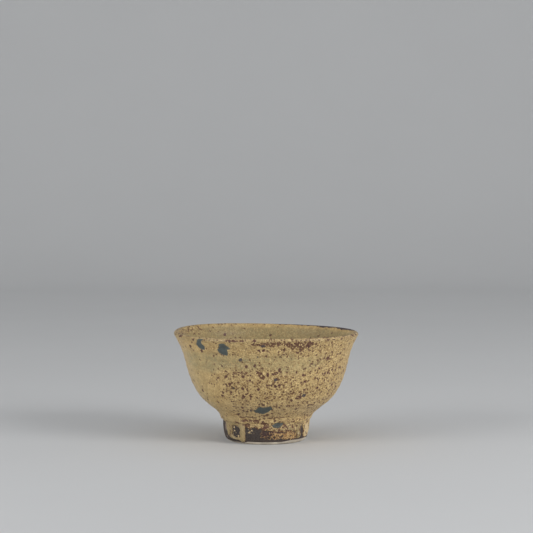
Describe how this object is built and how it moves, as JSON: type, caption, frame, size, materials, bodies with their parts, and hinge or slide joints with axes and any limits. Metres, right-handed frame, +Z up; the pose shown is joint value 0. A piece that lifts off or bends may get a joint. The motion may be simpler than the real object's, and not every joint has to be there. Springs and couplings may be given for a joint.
{
  "type": "matcha bowl",
  "caption": "Flared hand-thrown tea bowl for whisking powdered tea, with an ash-toned glaze over an unglazed clay foot ring.",
  "frame": {"origin": "centre of the foot's standing face, on the bowl's axis", "axes": "+Z up the bowl's axis to the rim, +X to the right and -Y towards the viewer of the side with the glaze skips"},
  "size_m": [0.135, 0.135, 0.08],
  "materials": {
    "clay": "dry fired stoneware clay, hidden under the glaze",
    "foot_clay": "bare brown-grey stoneware clay, rough and matte, with a worn cream standing edge",
    "ash_glaze": "satin ochre-tan ash glaze with a greenish-grey band, iron specks and pinholes",
    "inner_glaze": "satin tan to grey-green glaze, pale along the lip",
    "glaze_run": "thick glossy glaze run, grey-green",
    "glaze_film": "thin speckled brown glaze film",
    "slate_slip": "dark slate slip, matte, bare of glaze"
  },
  "bodies": {
    "root": {"clay_bowl": "clay", "foot_ring": "foot_clay", "outer_glaze": "ash_glaze", "inner_glaze": "inner_glaze", "left_glaze_run": "glaze_run", "right_glaze_run": "glaze_run", "foot_glaze_film": "glaze_film", "slip_patch_lip": "slate_slip", "slip_patch_upper": "slate_slip", "slip_patch_belly": "slate_slip", "slip_patch_foot": "slate_slip"}
  },
  "joints": []
}
